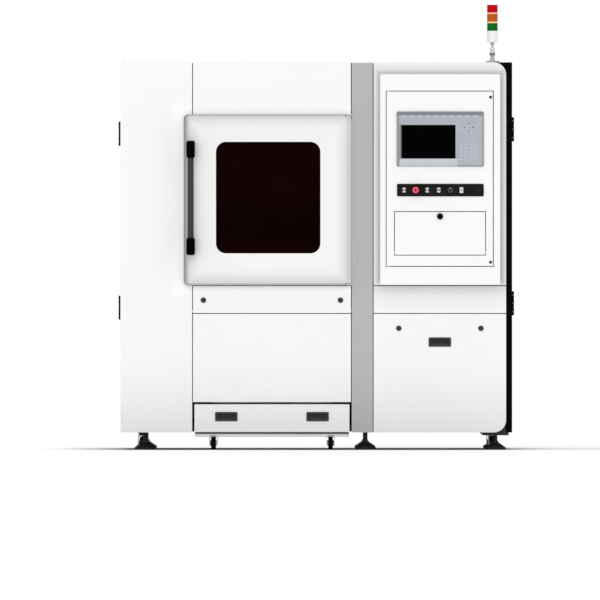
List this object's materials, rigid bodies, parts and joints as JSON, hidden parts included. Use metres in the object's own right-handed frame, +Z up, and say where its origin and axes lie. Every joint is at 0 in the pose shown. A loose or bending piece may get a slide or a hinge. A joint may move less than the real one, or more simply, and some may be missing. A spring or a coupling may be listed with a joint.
{
  "type": "fiber laser cutting machine",
  "caption": "Enclosed compact fiber laser cutting machine with crowned front door, dark safety window, operator console, scrap trolley and tower light.",
  "frame": {"origin": "floor level under the middle of the machine's bounding box", "axes": "+X to the operator's right, +Y to the rear, +Z up; the front door faces -Y"},
  "size_m": [1.9006, 1.624, 2.137],
  "materials": {
    "frame_paint": "satin",
    "black_rubber": "matte",
    "castor_steel": "zinc plated",
    "white_paint": "fine satin powder coat",
    "door_paint": "fine satin powder coat",
    "grey_paint": "satin",
    "black_paint": "satin",
    "bed_paint": "satin",
    "bare_steel": "brushed",
    "dark_steel": "brushed",
    "bar_metal": "anodised satin",
    "beam_metal": "satin",
    "dark_alloy": "anodised",
    "copper": "polished",
    "black_plastic": "matte",
    "white_plastic": "gloss",
    "green_plastic": "gloss",
    "red_plastic": "gloss",
    "panel_silver": "fine matte film",
    "screen": "gloss",
    "laser_glass": "dark red laser safety acrylic",
    "wheel_rubber": "matte",
    "green_lens": "translucent gloss",
    "amber_lens": "translucent gloss",
    "red_lens": "translucent gloss"
  },
  "bodies": {
    "machine": {"welded_frame": "frame_paint", "levelling_feet": "black_rubber", "transport_castors": "castor_steel", "left_corner_panel": "white_paint", "upper_front_panel": "white_paint", "lower_front_panel": "white_paint", "pillar": "grey_paint", "roof_panel": "white_paint", "rear_panel": "white_paint", "exhaust_spigot": "bare_steel", "cabinet_body": "black_paint", "control_fascia": "white_paint", "fascia_strip": "white_paint", "console_box": "white_paint", "side_hinges": "black_paint", "machine_bed": "bed_paint", "slat_frame": "dark_steel", "slats": "bare_steel", "scrap_chute": "bare_steel", "long_rails": "bare_steel", "laser_source": "dark_alloy", "electrical_plate": "beam_metal", "tower_foot": "bare_steel"},
    "front_door": {"front_door": "door_paint", "door_window": "laser_glass", "handle_bar": "bar_metal", "handle_brackets": "black_plastic"},
    "front_flap": {"front_flap": "white_paint", "flap_locks": "black_plastic"},
    "lower_panel": {"lower_panel": "white_paint", "lower_locks": "black_plastic", "lower_pull": "bare_steel"},
    "console_door": {"console_door": "white_paint", "display_panel": "panel_silver", "screen_glass": "screen", "switch_plate": "black_plastic"},
    "keyboard_flap": {"keyboard_flap": "white_paint"},
    "keyboard_lock": {"keyboard_lock": "black_plastic"},
    "white_button": {"white_button": "white_plastic"},
    "green_button": {"green_button": "green_plastic"},
    "e_stop": {"e_stop": "red_plastic"},
    "key_switch": {"key_switch": "bare_steel"},
    "selector_knob": {"selector_knob": "black_plastic"},
    "left_side_door": {"left_side_door": "white_paint"},
    "right_side_door": {"right_side_door": "black_paint"},
    "trolley": {"scrap_tray": "white_paint", "tray_pulls": "bare_steel", "castor_forks": "castor_steel"},
    "front_wheels": {"front_wheels": "wheel_rubber"},
    "rear_wheels": {"rear_wheels": "wheel_rubber"},
    "gantry": {"gantry_beam": "beam_metal", "gantry_guides": "bare_steel"},
    "cross_carriage": {"cross_carriage": "dark_alloy"},
    "height_slide": {"height_slide": "beam_metal", "cutting_head": "dark_alloy", "nozzle": "copper"},
    "tower_light": {"tower_base": "white_plastic", "green_lens": "green_lens", "amber_lens": "amber_lens", "red_lens": "red_lens"}
  },
  "joints": [
    {"name": "front_door_hinge", "type": "hinge", "parent": "machine", "child": "front_door", "pos_m": [0.151, -0.713, 1.1995], "axis": [0, 0, -1], "range_deg": [-95, 0]},
    {"name": "front_flap_hinge", "type": "hinge", "parent": "machine", "child": "front_flap", "pos_m": [-0.213, -0.685, 0.666], "axis": [1, 0, 0], "range_deg": [0, 90]},
    {"name": "lower_panel_hinge", "type": "hinge", "parent": "machine", "child": "lower_panel", "pos_m": [0.593, -0.685, 0.093], "axis": [1, 0, 0], "range_deg": [0, 90]},
    {"name": "console_door_hinge", "type": "hinge", "parent": "machine", "child": "console_door", "pos_m": [0.345, -0.76, 1.3005], "axis": [0, 0, -1], "range_deg": [0, 90]},
    {"name": "keyboard_flap_hinge", "type": "hinge", "parent": "console_door", "child": "keyboard_flap", "pos_m": [0.5935, -0.761, 0.945], "axis": [1, 0, 0], "range_deg": [0, 90]},
    {"name": "keyboard_lock_turn", "type": "hinge", "parent": "keyboard_flap", "child": "keyboard_lock", "pos_m": [0.5935, -0.77, 1.12], "axis": [0, 1, 0], "range_deg": [0, 90]},
    {"name": "white_button_push", "type": "slide", "parent": "console_door", "child": "white_button", "axis": [0, 1, 0], "range_m": [0, 0.004], "stiffness_N_per_m": 250},
    {"name": "green_button_push", "type": "slide", "parent": "console_door", "child": "green_button", "axis": [0, 1, 0], "range_m": [0, 0.004], "stiffness_N_per_m": 250},
    {"name": "e_stop_push", "type": "slide", "parent": "console_door", "child": "e_stop", "axis": [0, 1, 0], "range_m": [0, 0.005]},
    {"name": "key_switch_turn", "type": "hinge", "parent": "console_door", "child": "key_switch", "pos_m": [0.5872, -0.77, 1.246], "axis": [0, 1, 0], "range_deg": [0, 90]},
    {"name": "selector_knob_turn", "type": "hinge", "parent": "console_door", "child": "selector_knob", "pos_m": [0.6426, -0.77, 1.246], "axis": [0, 1, 0], "range_deg": [-45, 45]},
    {"name": "left_side_door_hinge", "type": "hinge", "parent": "machine", "child": "left_side_door", "pos_m": [-0.9453, -0.551, 1.1], "axis": [0, 0, 1], "range_deg": [0, 110]},
    {"name": "right_side_door_hinge", "type": "hinge", "parent": "machine", "child": "right_side_door", "pos_m": [0.9453, -0.551, 1.121], "axis": [0, 0, -1], "range_deg": [0, 110]},
    {"name": "trolley_slide", "type": "slide", "parent": "machine", "child": "trolley", "axis": [0, -1, 0], "range_m": [0, 0.8]},
    {"name": "front_wheels_spin", "type": "hinge", "parent": "trolley", "child": "front_wheels", "pos_m": [-0.213, -0.628, 0.03], "axis": [1, 0, 0], "continuous": true},
    {"name": "rear_wheels_spin", "type": "hinge", "parent": "trolley", "child": "rear_wheels", "pos_m": [-0.213, 0.147, 0.03], "axis": [1, 0, 0], "continuous": true},
    {"name": "gantry_travel", "type": "slide", "parent": "machine", "child": "gantry", "axis": [0, -1, 0], "range_m": [0, 0.58]},
    {"name": "carriage_travel", "type": "slide", "parent": "gantry", "child": "cross_carriage", "axis": [1, 0, 0], "range_m": [-0.3, 0.3]},
    {"name": "head_travel", "type": "slide", "parent": "cross_carriage", "child": "height_slide", "axis": [0, 0, -1], "range_m": [0, 0.07]},
    {"name": "tower_fold", "type": "hinge", "parent": "machine", "child": "tower_light", "pos_m": [0.846, -0.573, 1.926], "axis": [-1, 0, 0], "range_deg": [0, 90]}
  ]
}
